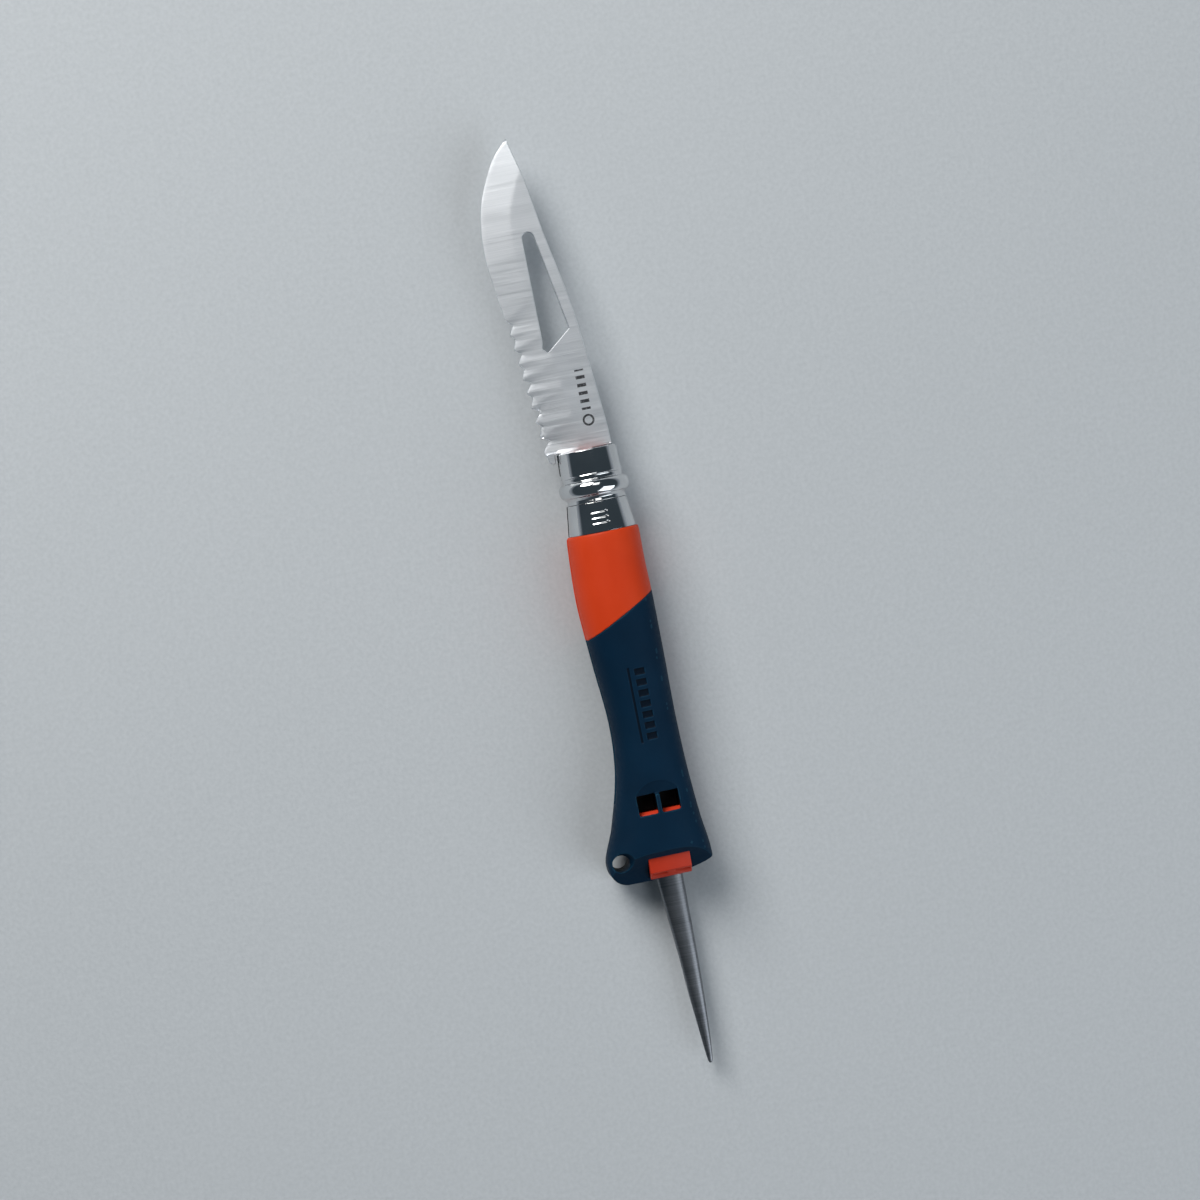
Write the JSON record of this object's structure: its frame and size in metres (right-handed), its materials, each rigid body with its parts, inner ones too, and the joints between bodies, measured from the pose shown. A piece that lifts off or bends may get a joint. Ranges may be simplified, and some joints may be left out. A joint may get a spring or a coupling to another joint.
{
  "type": "rigging knife",
  "caption": "Folding rigging knife with a part-serrated blade, shackle-key slot, rotating locking ring, soft-grip handle, tail whistle, lanyard hole and folding marlinspike.",
  "frame": {"origin": "the middle of the box round the open knife, at its underside, where it lies on a flat surface", "axes": "+Y along the knife towards the blade's tip, +X towards the spine side, +Z out of the front face"},
  "size_m": [0.0292, 0.2624, 0.0205],
  "materials": {
    "blade_steel": "satin, ground across",
    "collar_steel": "polished",
    "pin_steel": "satin",
    "washer_bronze": "satin",
    "spike_steel": "satin, ground across",
    "core_plastic": "satin moulded",
    "grip_rubber": "matte soft grip",
    "whistle_plastic": "satin moulded"
  },
  "bodies": {
    "handle": {"fixed_collar": "collar_steel", "handle_core": "core_plastic", "grip_sleeve": "grip_rubber", "whistle_mouthpiece": "whistle_plastic", "blade_rivet": "pin_steel", "blade_washers": "washer_bronze", "spike_pin": "pin_steel", "spike_spring": "pin_steel", "spring_pins": "pin_steel", "spike_stop_pin": "pin_steel"},
    "blade": {"blade": "blade_steel"},
    "locking_ring": {"locking_ring": "collar_steel"},
    "marlinspike": {"marlinspike": "spike_steel"}
  },
  "joints": [
    {"name": "blade_fold", "type": "hinge", "parent": "handle", "child": "blade", "pos_m": [0.00043, 0.04005, 0.01015], "axis": [0, 0, 1], "range_deg": [0, 174]},
    {"name": "ring_turn", "type": "hinge", "parent": "handle", "child": "locking_ring", "pos_m": [0.00243, 0.03635, 0.01015], "axis": [0, 1, 0], "range_deg": [0, 35]},
    {"name": "spike_fold", "type": "hinge", "parent": "handle", "child": "marlinspike", "pos_m": [0.00443, -0.06845, 0.00535], "axis": [0, 0, 1], "range_deg": [0, 173]}
  ]
}
